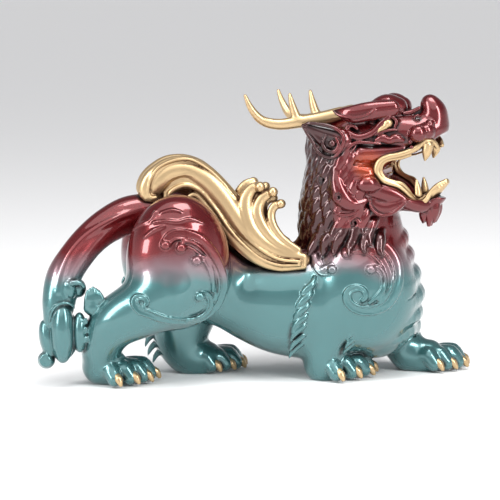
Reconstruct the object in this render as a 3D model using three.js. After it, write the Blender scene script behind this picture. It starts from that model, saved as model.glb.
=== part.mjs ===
// A pixiu, the winged lion of Chinese tales, striding with its head turned and its mouth open.
// The whole figure is one copper casting: body, legs, tail, wings, antlers and teeth are one solid.
// It is shaped as clay: limbs and eggs are added or cut away with soft seams, and the skin is then meshed.
// +X is forward, +Y is the beast's left, +Z is up, and the paws stand on Z = 0.
import * as THREE from 'three';

// Driving dimensions, in millimetres and degrees.
const CELL = 1.9;                         // spacing of the lattice on which the clay is measured
const TRIANGLES = 9400;                   // triangles in the finished skin
const BOX = { low: [-136, -58, -4], high: [146, 58, 182] };
const HEAD = { x: 73, y: -8, z: 127, turn: -25 };
const BODY = { x: 0, y: 0, z: 0, turn: 0 };
const REACH = 6;                          // how far from its skin a shape is still measured
const THINNEST = 1.35;                    // no strand is thinner than the lattice can hold
const PAW = { height: 9.4, radius: 10.2, toe: 5.4, claw: 2.5 };
const PLACE = { x: -5.6, y: -1.8 };       // moves the figure so that its box is centred over the origin

const FAR = 9;
const EDGE = 0.06;                        // skin points keep this share of a lattice step from its ends
const SOLE_BAND = 0.45;                   // skin this near the ground is pressed flat onto it

// The clay: a signed distance at every lattice point, negative inside.
class Clay {
  constructor(cell, low, high) {
    this.cell = cell;
    this.low = low;
    this.size = low.map((a, i) => Math.ceil((high[i] - a) / cell) + 1);
    const total = this.size[0] * this.size[1] * this.size[2];
    this.field = new Float32Array(total).fill(FAR);
    this.shape = new Float32Array(total).fill(FAR);
  }

  index(i, j, k) {
    return (k * this.size[1] + j) * this.size[0] + i;
  }

  // Calls visit(index, x, y, z) at each lattice point within reach of the points of a shape.
  scan(points, reach, visit) {
    const from = [];
    const to = [];
    for (let a = 0; a < 3; a++) {
      const values = points.map((p) => p[a]);
      const low = (Math.min(...values) - reach[a] - this.low[a]) / this.cell;
      const high = (Math.max(...values) + reach[a] - this.low[a]) / this.cell;
      from.push(Math.max(0, Math.floor(low)));
      to.push(Math.min(this.size[a] - 1, Math.ceil(high)));
    }
    for (let k = from[2]; k <= to[2]; k++) {
      for (let j = from[1]; j <= to[1]; j++) {
        for (let i = from[0]; i <= to[0]; i++) {
          visit(this.index(i, j, k), this.low[0] + i * this.cell, this.low[1] + j * this.cell,
            this.low[2] + k * this.cell);
        }
      }
    }
  }

  // Joins the shape measured last to the clay, or cuts it out, with a seam of the given softness.
  settle(points, reach, seam, cut) {
    this.scan(points, reach, (n) => {
      const clay = this.field[n];
      const shape = cut ? -this.shape[n] : this.shape[n];
      const soft = Math.max(seam - Math.abs(clay - shape), 0) ** 2 / (4 * seam);
      this.field[n] = cut ? Math.max(clay, shape) + soft : Math.min(clay, shape) - soft;
      this.shape[n] = FAR;
    });
  }

  // A limb follows rows of [x, y, z, radius]; flat scales its section along the frame's three axes.
  // A flat value of 0 lets a cut run right through along that axis.
  limb(rows, { seam = 1, flat = [1, 1, 1], frame = BODY, cut = false, both = false } = {}) {
    if (both) {
      const other = rows.map(([x, y, z, r]) => [x, -y, z, r]);
      this.limb(other, { seam, flat, frame, cut });
    }
    const inverse = flat.map((f) => (f === 0 ? 0 : 1 / f));
    const through = flat[1] === 0 ? BOX.high[1] : 0;
    const { cos, sin } = turnOf(frame);
    const swept = sweep(rows);
    const world = swept.map((s) => toWorld(frame, s));
    const widest = Math.max(...swept.map((s) => s[3])) * Math.max(1, ...flat);
    const around = [REACH + seam, REACH + seam, REACH + seam].map((v) => v + through);
    for (let s = 0; s < swept.length - 1; s++) {
      const a = swept[s];
      const b = swept[s + 1];
      const along = [0, 1, 2].map((n) => (b[n] - a[n]) * inverse[n]);
      const length2 = Math.max(dot(along, along), 1e-9);
      const wide = Math.max(a[3], b[3]) * Math.max(1, ...flat);
      const [ax, ay, az] = a;
      const [dx, dy, dz] = along;
      const [ix, iy, iz] = inverse;
      this.scan([world[s], world[s + 1]], around.map((v) => v + wide), (n, x, y, z) => {
        const u = cos * (x - frame.x) + sin * (y - frame.y) - ax;
        const v = cos * (y - frame.y) - sin * (x - frame.x) - ay;
        const w = z - frame.z - az;
        const t = Math.min(1, Math.max(0, (u * ix * dx + v * iy * dy + w * iz * dz) / length2));
        const ex = u * ix - t * dx;
        const ey = v * iy - t * dy;
        const ez = w * iz - t * dz;
        const away = Math.sqrt(ex * ex + ey * ey + ez * ez);
        const slope = Math.sqrt(ex * ex * ix * ix + ey * ey * iy * iy + ez * ez * iz * iz);
        const scale = slope > 1e-6 ? away / slope : 1;
        const distance = (away - (a[3] + t * (b[3] - a[3]))) * scale;
        if (distance < this.shape[n]) this.shape[n] = distance;
      });
    }
    this.settle(world, around.map((v) => v + widest), seam, cut);
  }

  egg(centre, radii, { seam = 1, frame = BODY, both = false, tilt = 0 } = {}) {
    if (both) this.egg([centre[0], -centre[1], centre[2]], radii, { seam, frame, tilt });
    const world = [toWorld(frame, centre)];
    const reach = Math.max(...radii) + REACH + seam;
    const [cos, sin] = [Math.cos(tilt), Math.sin(tilt)];
    const turn = turnOf(frame);
    const [rx, ry, rz] = radii;
    this.scan(world, [reach, reach, reach], (n, x, y, z) => {
      const u = turn.cos * (x - frame.x) + turn.sin * (y - frame.y) - centre[0];
      const v = turn.cos * (y - frame.y) - turn.sin * (x - frame.x) - centre[1];
      const w = z - frame.z - centre[2];
      const across = (cos * u + sin * w) / rx;
      const deep = v / ry;
      const high = (cos * w - sin * u) / rz;
      const near = Math.sqrt(across * across + deep * deep + high * high);
      const slope = Math.sqrt((across / rx) ** 2 + (deep / ry) ** 2 + (high / rz) ** 2);
      this.shape[n] = (near * (near - 1)) / Math.max(slope, 1e-6);
    });
    this.settle(world, [reach, reach, reach], seam, false);
  }

  // Fills slits narrower than two lattice steps: the clay is grown by a step and worn back by one.
  fillSlits() {
    const steps = [1, this.size[0], this.size[0] * this.size[1]];
    for (const pick of [Math.min, Math.max]) {
      const from = this.field.slice();
      for (let n = steps[2]; n < from.length - steps[2]; n++) {
        for (const step of steps) this.field[n] = pick(this.field[n], from[n - step], from[n + step]);
      }
    }
  }

  // The depth of the skin at x, z, met from the beast's right side.
  skin(x, z) {
    const i = Math.round((x - this.low[0]) / this.cell);
    const k = Math.round((z - this.low[2]) / this.cell);
    for (let j = 1; j < this.size[1]; j++) {
      const outer = this.field[this.index(i, j - 1, k)];
      const inner = this.field[this.index(i, j, k)];
      if (inner < 0) return this.low[1] + this.cell * (j - 1 + outer / (outer - inner));
    }
    return 0;
  }

  // A scroll lies on the flanks: rows of [x, z, radius], raised a little off the skin, on both sides.
  scroll(rows, seam = 0.6) {
    const raised = rows.map(([x, z, r]) => [x, this.skin(x, z) - 0.25 * r, z, r]);
    this.limb(raised, { seam, both: true });
  }
}

function dot(a, b) {
  return a[0] * b[0] + a[1] * b[1] + a[2] * b[2];
}

function turnOf(frame) {
  const angle = THREE.MathUtils.degToRad(frame.turn);
  return { cos: Math.cos(angle), sin: Math.sin(angle) };
}

function toWorld(frame, p) {
  const { cos, sin } = turnOf(frame);
  return [frame.x + cos * p[0] - sin * p[1], frame.y + sin * p[0] + cos * p[1], frame.z + p[2]];
}

// A smooth curve through the rows, sampled about every STEP millimetres, with its radius.
function sweep(rows) {
  const STEP = 2.5;
  const curve = new THREE.CatmullRomCurve3(rows.map((p) => new THREE.Vector3(p[0], p[1], p[2])));
  const spans = rows.length - 1;
  const samples = [];
  for (let s = 0; s < spans; s++) {
    const length = Math.hypot(...[0, 1, 2].map((n) => rows[s + 1][n] - rows[s][n]));
    const count = Math.max(1, Math.ceil(length / STEP));
    for (let c = s === 0 ? 0 : 1; c <= count; c++) {
      const p = curve.getPoint((s + c / count) / spans);
      const radius = THREE.MathUtils.lerp(rows[s][3], rows[s + 1][3], c / count);
      samples.push([p.x, p.y, p.z, Math.max(radius, THINNEST)]);
    }
  }
  return samples;
}

// A paw: a padded sole from the heel to the toes, four toes and their claws.
function paw(clay, heel, tips) {
  const middle = [0, 1].map((n) => tips.reduce((sum, tip) => sum + tip[n], 0) / tips.length);
  const length = Math.hypot(middle[0] - heel[0], middle[1] - heel[1]);
  const ahead = [0, 1].map((n) => (middle[n] - heel[n]) / length);
  const at = (from, distance, z, r) => [from[0] + ahead[0] * distance, from[1] + ahead[1] * distance, z, r];
  const { height, radius, toe, claw } = PAW;
  clay.limb([at(heel, radius, height, radius), at(middle, -radius * 1.5, height - 0.6, radius)], { seam: 4 });
  for (const tip of tips) {
    const root = at([middle[0] + (tip[0] - middle[0]) * 0.45, middle[1] + (tip[1] - middle[1]) * 0.45],
      -radius * 1.5, height, toe + 0.6);
    const reach = Math.hypot(tip[0] - root[0], tip[1] - root[1]);
    const toward = [0, 1].map((n) => (tip[n] - root[n]) / reach);
    const on = (distance, z, r) => [tip[0] + toward[0] * distance, tip[1] + toward[1] * distance, z, r];
    clay.limb([root, on(-7, height + 0.3, toe), on(-2.5, toe, toe - 0.8)], { seam: 1 });
    clay.limb([on(-1.5, toe + 1.6, claw), on(1.8, toe, claw - 0.2), on(3.8, 2.6, 1.2)], { seam: 0.4 });
  }
}

// Torso, chest, neck, haunches, shoulders and the four legs.
function addBody(clay) {
  clay.limb([[76, 0, 49, 28], [61, 0, 46, 33], [41, 0, 45, 34.5], [21, 0, 46, 32.5], [5, 0, 47, 26.5],
    [-9, 0, 51, 23], [-27, 0, 61, 25], [-45, 0, 70, 26]], { seam: 6, flat: [1, 0.93, 1] });
  clay.egg([76, 0, 47], [27.5, 29, 37], { seam: 4 });
  clay.limb([[67, -2, 69, 30], [62, -3, 90, 29.5], [60, -6, 110, 26], [59, -8, 126, 22]],
    { seam: 6, flat: [1, 0.85, 1] });
  clay.egg([-45.5, -24, 73.5], [30.6, 21, 40], { seam: 5, both: true });
  clay.egg([66, -18, 54], [31, 20, 36], { seam: 4, both: true });
  clay.limb([[-52, -27, 56, 21], [-68, -27, 47, 17.5], [-83, -24, 38, 15], [-90, -18, 25, 12.6],
    [-90, -13, 13, 11.5]], { seam: 5 });
  clay.limb([[-35, 24, 44, 21], [-40, 23, 24, 17], [-37, 21, 12, 13], [-31, 20, 5, 9.5]], { seam: 5 });
  clay.limb([[55, -18, 53, 18], [47, -18, 41, 14], [44, -17, 28, 12.2], [42.5, -15, 18, 12],
    [43, -12.5, 8, 11.3]], { seam: 4 });
  clay.limb([[87, 20, 31, 18.5], [95, 17, 19, 13.5], [103, 13, 9, 9.6], [110, 10, 5, 8]], { seam: 5 });
}

function addPaws(clay) {
  paw(clay, [-100, -6], [[-82, -29], [-72, -24], [-64, -18], [-59, -8]]);
  paw(clay, [33, -7], [[50, -28], [61, -21], [70, -13], [74, -2]]);
  paw(clay, [-42, 19], [[-20, 11], [-11, 16], [-4, 22], [-2, 31]]);
  paw(clay, [89, 15], [[115, -2], [124, 2], [132, 8], [135, 18]]);
}

// The tail arches down to the hock and ends in a tassel of hanging leaves.
function addTail(clay) {
  clay.limb([[-59, 0, 100, 12.5], [-73, -2, 99, 11.6], [-85, -5, 94, 10.6], [-96, -9, 86, 10],
    [-105, -13, 76, 10], [-112, -16, 65, 10.3], [-115, -19, 52, 10], [-116.5, -21, 40, 8]],
    { seam: 3, flat: [1, 0.85, 1] });
  clay.egg([-113.5, -24, 33], [7.2, 8, 18.2], { seam: 0.6 });
  clay.egg([-122, -20, 28.5], [5, 6.5, 12], { seam: 0.5, tilt: 0.2 });
  clay.egg([-103.5, -24, 33], [4.6, 6.5, 12], { seam: 0.5 });
  clay.egg([-123, -21, 16.5], [5.2, 5.2, 5.2], { seam: 0.6 });
  clay.egg([-113.5, -16, 31], [10, 8, 16], { seam: 1.5 });
  clay.egg([-109.5, -23, 58.5], [4.6, 4.8, 6.4], { seam: 0.5 });
  clay.egg([-104, -20, 58.5], [4.8, 4.8, 5.6], { seam: 0.5 });
  clay.limb([[-95.5, -26, 48.5, 6], [-95.5, -26, 54, 5.4], [-96, -26, 60.5, 1.6]], { seam: 1, flat: [1, 0.8, 1] });
}

// A wing on each side rises from the shoulder in three long bands and a small plume of three curls.
function addWings(clay) {
  const wing = (rows, flat = 1, seam = 1.2) => clay.limb(rows, { seam, flat: [1, flat, 1], both: true });
  wing([[29, -21, 73, 4.2], [15, -18, 72.5, 5.5], [4, -14, 77.5, 7.5], [-7, -10, 90, 10.5], [-18, -7, 102, 10],
    [-27, -5, 114, 8.5], [-37, -4, 121, 7.5], [-48, -4, 119.5, 7.5], [-56, -4, 114, 6]], 0.5);
  wing([[29, -24, 75, 2.6], [14.5, -22, 77, 2.8], [3, -18.5, 83, 4], [-8, -14.5, 95.5, 6], [-18, -11.5, 110, 7],
    [-28, -9.5, 120.5, 6.6], [-39, -8.5, 126, 5.2], [-49, -8, 124.5, 5.6], [-56, -7.5, 118, 5.6],
    [-59, -7, 113.5, 4]], 0.75, 0.8);
  wing([[-7, -11, 106.5, 2.2], [-22.5, -8.5, 123, 3], [-30, -8, 128.5, 3.2], [-39.5, -7, 131.3, 3.4],
    [-49, -7, 130.2, 3.8], [-56, -7, 126, 4.2], [-61.5, -7, 120.5, 4.3], [-63.5, -7, 114.5, 4.2],
    [-62, -8, 111, 3.4], [-58.5, -9, 109.5, 2.2]]);
  wing([[29, -24.5, 72.5, 2.2], [14.5, -22.5, 73, 2.4], [3, -19, 77.5, 2.8], [-8, -15, 87.5, 3.2],
    [-18, -12, 101.5, 4], [-27, -10, 113.5, 4.6], [-37, -8.5, 120, 4.4], [-45, -8, 119.5, 3.6],
    [-50, -8, 114.5, 2.6], [-51, -8, 111, 1.8]], 0.7);
  wing([[29, -24.5, 70, 2], [14.5, -22.5, 69, 2.2], [3, -19.5, 73, 2.8], [-8, -16, 81.5, 3.2], [-18, -13, 93.5, 2.9],
    [-26.5, -11.5, 103.5, 2.4], [-32, -10.5, 110, 1.8], [-37.5, -10.5, 110.5, 1.5]], 0.9);
  wing([[26, -20, 77, 3], [13, -17, 82.5, 4.5], [4, -14, 92.5, 7], [1.5, -12, 103, 7.5], [4, -11.5, 110.5, 5]], 0.5, 0.8);
  wing([[25, -23, 76, 3], [10.5, -21, 80.5, 3.6], [0, -18, 90, 4.4], [-4, -15.5, 100.5, 4.8], [-4, -14, 109, 4.4],
    [-0.5, -13.5, 115, 3.4], [4, -16, 116.5, 3.6]], 0.7);
  wing([[25, -23, 77.5, 2.4], [13.5, -21, 83.5, 3], [5.5, -18.5, 93, 3.6], [2.5, -16.5, 102, 3.8],
    [5, -15.5, 109, 3.2], [11.5, -17.5, 113.5, 3.4]], 0.75);
  wing([[26, -23, 79.5, 2], [17, -21, 86, 2.4], [11.5, -19, 94, 2.6], [10.5, -17.5, 101, 2.6],
    [13, -17, 105.5, 2.6], [16, -18.5, 106.5, 3]], 0.8);
  clay.limb([[7, 0, 83, 9], [-9, 0, 98, 10], [-27, 0, 113.5, 8], [-43, 0, 118.5, 6]], { seam: 1, flat: [1, 0.7, 1] });
}

// The head, in its own frame: x' forward along the muzzle, y' to the beast's left, z' up.
function addHead(clay) {
  const head = (rows, seam = 1, flat = [1, 1, 1]) => clay.limb(rows, { seam, flat, frame: HEAD });
  const pair = (rows, seam = 1, flat = [1, 1, 1]) => clay.limb(rows, { seam, flat, frame: HEAD, both: true });
  const cut = (rows) => clay.limb(rows, { seam: 1, flat: [1, 0, 1], frame: HEAD, cut: true });

  clay.egg([-10, 0, 11], [28, 23.5, 23], { seam: 4, frame: HEAD });
  head([[0, 0, 17, 16], [16, 0, 20, 14.4], [30, 0, 21, 12.4], [37, 0, 24, 9]], 3, [1, 1.15, 1]);
  head([[34.5, 0, 38.5, 6], [37.5, 0, 33.5, 7.6], [39, 0, 27, 7.2]], 2, [1, 1.1, 1]);
  pair([[16, -5.5, 36, 6.2], [10.5, -8, 36.5, 7.6], [4.5, -13, 33.5, 6.6]], 1.2);
  pair([[15, -15, 36, 5], [3, -20, 34.5, 5.6], [-8, -22, 32.5, 5], [-17, -22, 34, 1.4]], 1.2, [1, 0.7, 1]);
  pair([[29.5, -13.5, 20.5, 4.6], [35, -10.5, 22.5, 5.2]]);
  pair([[-14.5, -25, 16.5, 8.2], [-24, -27, 20, 6], [-30, -28.5, 23.5, 3.4], [-34.5, -30, 26, 1.4]], 0.8, [1, 0.55, 1]);
  pair([[-4, -17, -8, 8], [9, -17.5, -12.5, 6.5], [21, -14.5, -17, 5.6], [31, -8, -21.5, 4.8], [36, 0, -20.5, 4.6]], 2);
  head([[34, 0, -21, 5.5], [41, 0, -16, 4.2], [45.5, 0, -10.5, 2.4]], 2, [1, 1.3, 1]);
  head([[0, 0, -14, 9], [16, 0, -20, 5.5], [32, 0, -22.5, 4.5]], 2.5, [1, 1.6, 1]);

  cut([[12, 0, -1, 2.6], [18, 0, -0.5, 6], [24.5, 0, -1, 9.8], [32, 0, -3.5, 13.5], [42, 0, -0.5, 16], [56, 0, 3, 22]]);
  cut([[30, 0, -10, 7.5], [34, 0, -10, 7.5]]);

  head([[36, 0, -17, 4.4], [35.5, 0, -23, 5.6], [35, 0, -29, 4.6], [34, 0, -34.5, 1.8]], 1, [1, 0.8, 1]);
  pair([[-16.5, -24.5, 1, 4.5], [-13.5, -25, -11, 5.6], [-7.5, -24, -19, 5.6], [-1.5, -22, -19, 3]], 0.8);
  pair([[-2.5, -20.5, 9, 5.6], [8.5, -15.5, 9.5, 5.6], [21, -12, 12, 3.2]], 0.8);
  pair([[-4, -21, -1.5, 6.2], [1.5, -19, -3, 6.2]], 0.7);
  clay.egg([3, -23.8, -8.2], [5.6, 5.6, 5.6], { seam: 0.6, frame: HEAD, both: true });
  pair([[0, -21.5, 15, 2.2], [11, -17, 16.5, 3.2], [20.5, -15.5, 17, 3.2]], 0.7);

  // Lips, fangs, eyes and antlers.
  pair([[40.5, -6.5, 13.5, 1.5], [38.5, -9, 16.5, 1.8], [34.5, -12, 17.5, 2], [31, -13.5, 14, 2],
    [20, -17.5, 9, 1.8], [13.5, -19.5, 7.5, 1.9], [9.5, -21, 5, 2], [8, -21.5, 0, 2], [10.5, -21, -5, 1.9],
    [20, -16.5, -9.5, 1.8], [24, -14, -13.5, 1.9], [27.5, -11.5, -18, 2], [31.5, -9.5, -20, 2],
    [34.5, -8, -18, 1.8], [37, -6, -13.5, 1.6], [45, -1, -7, 1.4]], 0.5);
  pair([[36, -10.5, 14.5, 3.4], [35.5, -11, 10.5, 2.8], [34.5, -11, 6, 1.2]], 0.4);
  pair([[30, -9, -14.5, 2.6], [29.5, -9, -10, 1.8], [29, -9, -6.5, 1.2]], 0.4);
  pair([[15.5, -20.5, 29, 2.6], [12.5, -22.5, 25, 1.9], [9, -23.5, 21.5, 1.2]], 0.4);
  pair([[-16.5, -12, 32, 4.4], [-29.5, -16, 29, 4.1], [-39.5, -20, 27.5, 3.7], [-51.5, -25, 26, 3.3],
    [-60.5, -29, 28.5, 2.8], [-66.5, -32, 36, 2], [-69.5, -33, 43, 1.3]], 0.5);
  pair([[-41, -20.5, 28.5, 3], [-43.5, -21, 35.5, 2.4], [-45.5, -21.5, 43.5, 1.3]], 1.2);
}

// The raised scrolls on the shoulders and haunches, as rows of [x, z, radius].
function addScrolls(clay) {
  clay.scroll([[45, 69.5, 2.6], [40, 67.5, 3], [37, 72.5, 3.2], [39, 79, 3.2], [44, 84, 3.2], [52.5, 86.5, 3.2],
    [63.5, 87, 3.3], [73.5, 83.5, 3.4], [80, 77.5, 3.4], [83.5, 70, 3.4], [83.5, 61, 3.4], [81, 54.5, 3.4],
    [77, 49, 3.2], [70, 45.5, 3.2], [62, 45, 3], [56, 47.5, 3], [53, 51.5, 2.8], [53.5, 56, 2.6], [57, 58, 2.3],
    [61, 58, 2], [63.5, 55, 1.8]]);
  clay.scroll([[53, 79, 2.4], [57, 81, 2.6], [63, 81, 2.5], [70, 78, 2.5], [75, 72, 2.4], [77.5, 64.5, 2.3],
    [77, 57.5, 2], [72, 50.5, 1.2]]);
  clay.scroll([[-54.5, 86, 2.8], [-52, 90, 3], [-47.5, 92, 3], [-41, 91, 3.2], [-34, 88, 3.4], [-27.5, 80.5, 3.4],
    [-23, 71.5, 3.4], [-20, 62, 3.4], [-21, 55, 3.2], [-23.5, 49, 3.2], [-28, 44.5, 3], [-34, 41.5, 2.8],
    [-44.5, 41, 2.6], [-55, 43, 2.6], [-64, 46.5, 2.6], [-70, 49, 2.6], [-72, 52, 2.5], [-72.5, 54.5, 2.3],
    [-70, 56, 2], [-66.5, 55, 1.8]]);
  clay.scroll([[-46, 85.5, 2.2], [-41, 86.5, 2.2], [-34.5, 82.5, 2.2], [-29.5, 76, 2.2], [-25.5, 68.5, 2.1],
    [-24.5, 59, 1.8]]);
}

// The skin of the clay: each lattice cell is split into six tetrahedra, so the skin always closes.
function skinOf(clay) {
  const [nx, ny, nz] = clay.size;
  const offsets = [0, 1, 2, 3, 4, 5, 6, 7].map((c) => clay.index(c & 1, (c >> 1) & 1, c >> 2));
  const values = new Float64Array(8);
  const tetrahedra = [[1, 3], [1, 5], [2, 3], [2, 6], [4, 5], [4, 6]].map(([a, b]) => [0, a, b, 7]);
  const value = (n, k) => Math.max(clay.field[n], -(clay.low[2] + k * clay.cell));
  const found = new Map();
  const points = [];
  const faces = [];

  for (let k = 0; k < nz - 1; k++) {
    for (let j = 0; j < ny - 1; j++) {
      for (let i = 0; i < nx - 1; i++) {
        const origin = clay.index(i, j, k);
        let inside = 0;
        for (let c = 0; c < 8; c++) {
          values[c] = value(origin + offsets[c], k + (c >> 2));
          if (values[c] < 0) inside += 1;
        }
        if (inside === 0 || inside === 8) continue;
        const place = (c) => [i + (c & 1), j + ((c >> 1) & 1), k + (c >> 2)];
        const crossing = (a, b) => {
          const [low, high] = a < b ? [a, b] : [b, a];
          const key = (origin + offsets[low]) * 8 + (low ^ high);
          if (!found.has(key)) {
            const raw = values[low] / (values[low] - values[high]);
            const t = Math.min(1 - EDGE, Math.max(EDGE, raw));
            const [p, q] = [place(low), place(high)];
            points.push(p.map((v, n) => clay.low[n] + clay.cell * (v + t * (q[n] - v))));
            found.set(key, points.length - 1);
          }
          return found.get(key);
        };
        for (const corners of tetrahedra) {
          const inner = corners.filter((c) => values[c] < 0);
          const outer = corners.filter((c) => values[c] >= 0);
          if (inner.length === 0 || outer.length === 0) continue;
          const centre = (list) => [0, 1, 2].map((n) => list.reduce((s, c) => s + place(c)[n], 0) / list.length);
          const outward = centre(outer).map((v, n) => v - centre(inner)[n]);
          const add = (a, b, c) => faces.push(facing([a, b, c], points, outward));
          if (inner.length === 2) {
            const [a, b, c, d] = [crossing(inner[0], outer[0]), crossing(inner[0], outer[1]),
              crossing(inner[1], outer[1]), crossing(inner[1], outer[0])];
            add(a, b, c);
            add(a, c, d);
          } else {
            const [one, three] = inner.length === 1 ? [inner[0], outer] : [outer[0], inner];
            add(...three.map((c) => crossing(one, c)));
          }
        }
      }
    }
  }
  for (const p of points) if (p[2] < SOLE_BAND) p[2] = 0;
  return { points, faces };
}

function normalOf(face, points) {
  const [a, b, c] = face.map((n) => points[n]);
  const u = [b[0] - a[0], b[1] - a[1], b[2] - a[2]];
  const v = [c[0] - a[0], c[1] - a[1], c[2] - a[2]];
  return [u[1] * v[2] - u[2] * v[1], u[2] * v[0] - u[0] * v[2], u[0] * v[1] - u[1] * v[0]];
}

function facing(face, points, outward) {
  return dot(normalOf(face, points), outward) < 0 ? [face[0], face[2], face[1]] : face;
}

// Keeps the one body whose skin encloses the most, and drops stray crumbs and sealed bubbles.
function mainBody({ points, faces }) {
  const parent = points.map((_, n) => n);
  const root = (n) => {
    while (parent[n] !== n) {
      parent[n] = parent[parent[n]];
      n = parent[n];
    }
    return n;
  };
  for (const [a, b, c] of faces) {
    parent[root(b)] = root(a);
    parent[root(c)] = root(a);
  }
  const volume = new Map();
  for (const face of faces) {
    const body = root(face[0]);
    const share = dot(normalOf(face, points), points[face[0]]);
    volume.set(body, (volume.get(body) ?? 0) + share);
  }
  const largest = [...volume.entries()].sort((a, b) => b[1] - a[1])[0][0];
  return { points, faces: faces.filter((face) => root(face[0]) === largest) };
}

// Merges the skin's edges, cheapest first, until it has the triangles asked for.
// The cost of a merge is the squared distance to the planes that met at both ends.
class Thinner {
  constructor({ points, faces }) {
    this.points = points;
    this.faces = faces;
    this.alive = faces.length;
    this.around = points.map(() => []);
    this.planes = points.map(() => new Float64Array(10));
    this.stamp = new Uint32Array(points.length);
    faces.forEach((face, f) => {
      const n = normalOf(face, points);
      const area = Math.hypot(...n);
      if (area > 1e-12) {
        const [a, b, c] = n.map((v) => v / area);
        const d = -dot([a, b, c], points[face[0]]);
        const plane = [a * a, a * b, a * c, a * d, b * b, b * c, b * d, c * c, c * d, d * d];
        for (const v of face) plane.forEach((q, m) => { this.planes[v][m] += q * area; });
      }
      for (const v of face) this.around[v].push(f);
    });
    this.heap = [];
    points.forEach((_, v) => {
      for (const w of this.neighbours(v)) if (w > v) this.offer(v, w);
    });
  }

  neighbours(v) {
    const found = new Set();
    for (const f of this.around[v]) for (const w of this.faces[f]) if (w !== v) found.add(w);
    return found;
  }

  cost(q, p) {
    const [x, y, z] = p;
    return q[0] * x * x + 2 * q[1] * x * y + 2 * q[2] * x * z + 2 * q[3] * x + q[4] * y * y
      + 2 * q[5] * y * z + 2 * q[6] * y + q[7] * z * z + 2 * q[8] * z + q[9];
  }

  // The cheapest place for the merged point. A point on the ground stays on the ground.
  best(v, w) {
    const q = this.planes[v].map((x, m) => x + this.planes[w][m]);
    const [a, b] = [this.points[v], this.points[w]];
    const grounded = a[2] === 0 || b[2] === 0;
    const choices = [a, b, a.map((x, n) => (x + b[n]) / 2)];
    const matrix = new THREE.Matrix3().set(q[0], q[1], q[2], q[1], q[4], q[5], q[2], q[5], q[7]);
    if (Math.abs(matrix.determinant()) > 1e-4 * (q[0] + q[4] + q[7]) ** 3) {
      const p = new THREE.Vector3(-q[3], -q[6], -q[8]).applyMatrix3(matrix.invert());
      const span = Math.hypot(a[0] - b[0], a[1] - b[1], a[2] - b[2]);
      if (Math.hypot(p.x - a[0], p.y - a[1], p.z - a[2]) < 2 * span) choices.push([p.x, p.y, p.z]);
    }
    let chosen = null;
    for (const p of choices) {
      const place = grounded ? [p[0], p[1], 0] : p;
      const length = Math.hypot(a[0] - b[0], a[1] - b[1], a[2] - b[2]);
      const price = this.cost(q, place) + 1e-4 * length;
      if (!chosen || price < chosen.price) chosen = { price, place };
    }
    return chosen;
  }

  offer(v, w) {
    const { price, place } = this.best(v, w);
    const entry = { price, place, v, w, stamps: this.stamp[v] + this.stamp[w] };
    let n = this.heap.push(entry) - 1;
    while (n > 0) {
      const up = (n - 1) >> 1;
      if (this.heap[up].price <= price) break;
      this.heap[n] = this.heap[up];
      n = up;
    }
    this.heap[n] = entry;
  }

  cheapest() {
    const top = this.heap[0];
    const last = this.heap.pop();
    if (this.heap.length === 0) return top;
    let n = 0;
    for (;;) {
      let down = 2 * n + 1;
      if (down >= this.heap.length) break;
      if (down + 1 < this.heap.length && this.heap[down + 1].price < this.heap[down].price) down += 1;
      if (this.heap[down].price >= last.price) break;
      this.heap[n] = this.heap[down];
      n = down;
    }
    this.heap[n] = last;
    return top;
  }

  // A merge is refused where it would pinch the skin, or turn or flatten a triangle beside it.
  allowed(v, w, place) {
    const near = this.neighbours(v);
    let shared = 0;
    for (const u of this.neighbours(w)) if (near.has(u)) shared += 1;
    if (shared !== 2) return false;
    for (const [end, other] of [[v, w], [w, v]]) {
      for (const f of this.around[end]) {
        if (this.faces[f].includes(other)) continue;
        const before = normalOf(this.faces[f], this.points);
        const corners = this.faces[f].map((n) => (n === end ? place : this.points[n]));
        const after = normalOf([0, 1, 2], corners);
        const size = Math.hypot(...before) * Math.hypot(...after);
        if (Math.hypot(...after) < 0.02 || dot(before, after) < 0.3 * size) return false;
      }
    }
    return true;
  }

  merge(v, w, place) {
    this.points[v] = place;
    this.planes[w].forEach((q, m) => { this.planes[v][m] += q; });
    for (const f of this.around[w]) {
      if (this.faces[f].includes(v)) {
        for (const u of this.faces[f]) if (u !== w) this.around[u] = this.around[u].filter((g) => g !== f);
        this.faces[f] = null;
        this.alive -= 1;
      } else {
        this.faces[f] = this.faces[f].map((n) => (n === w ? v : n));
        this.around[v].push(f);
      }
    }
    this.around[w] = [];
    this.stamp[v] += 1;
    this.stamp[w] += 1;
    for (const u of this.neighbours(v)) this.offer(v, u);
  }

  thin(target) {
    while (this.alive > target && this.heap.length > 0) {
      const { v, w, place, stamps } = this.cheapest();
      const current = this.around[v].length > 0 && this.around[w].length > 0;
      if (!current || stamps !== this.stamp[v] + this.stamp[w]) continue;
      if (this.allowed(v, w, place)) this.merge(v, w, place);
    }
    return { points: this.points, faces: this.faces.filter((face) => face) };
  }
}

function geometryOf({ points, faces }) {
  const used = new Map();
  const positions = [];
  const index = faces.flat().map((n) => {
    if (!used.has(n)) {
      used.set(n, used.size);
      positions.push(...points[n]);
    }
    return used.get(n);
  });
  const geometry = new THREE.BufferGeometry();
  geometry.setAttribute('position', new THREE.Float32BufferAttribute(positions, 3));
  geometry.setIndex(index);
  geometry.translate(PLACE.x, PLACE.y, 0);
  geometry.computeVertexNormals();
  return geometry;
}

const clay = new Clay(CELL, BOX.low, BOX.high);
addBody(clay);
addPaws(clay);
addScrolls(clay);
addTail(clay);
addWings(clay);
addHead(clay);
clay.fillSlits();
const skin = new Thinner(mainBody(skinOf(clay))).thin(TRIANGLES);

const figure = new THREE.Mesh(geometryOf(skin),
  new THREE.MeshStandardMaterial({ color: 0x8c2318, roughness: 0.25, metalness: 0.6 }));
figure.name = 'pixiu_figure';

const part = new THREE.Group();
part.add(figure);
export default part;
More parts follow.
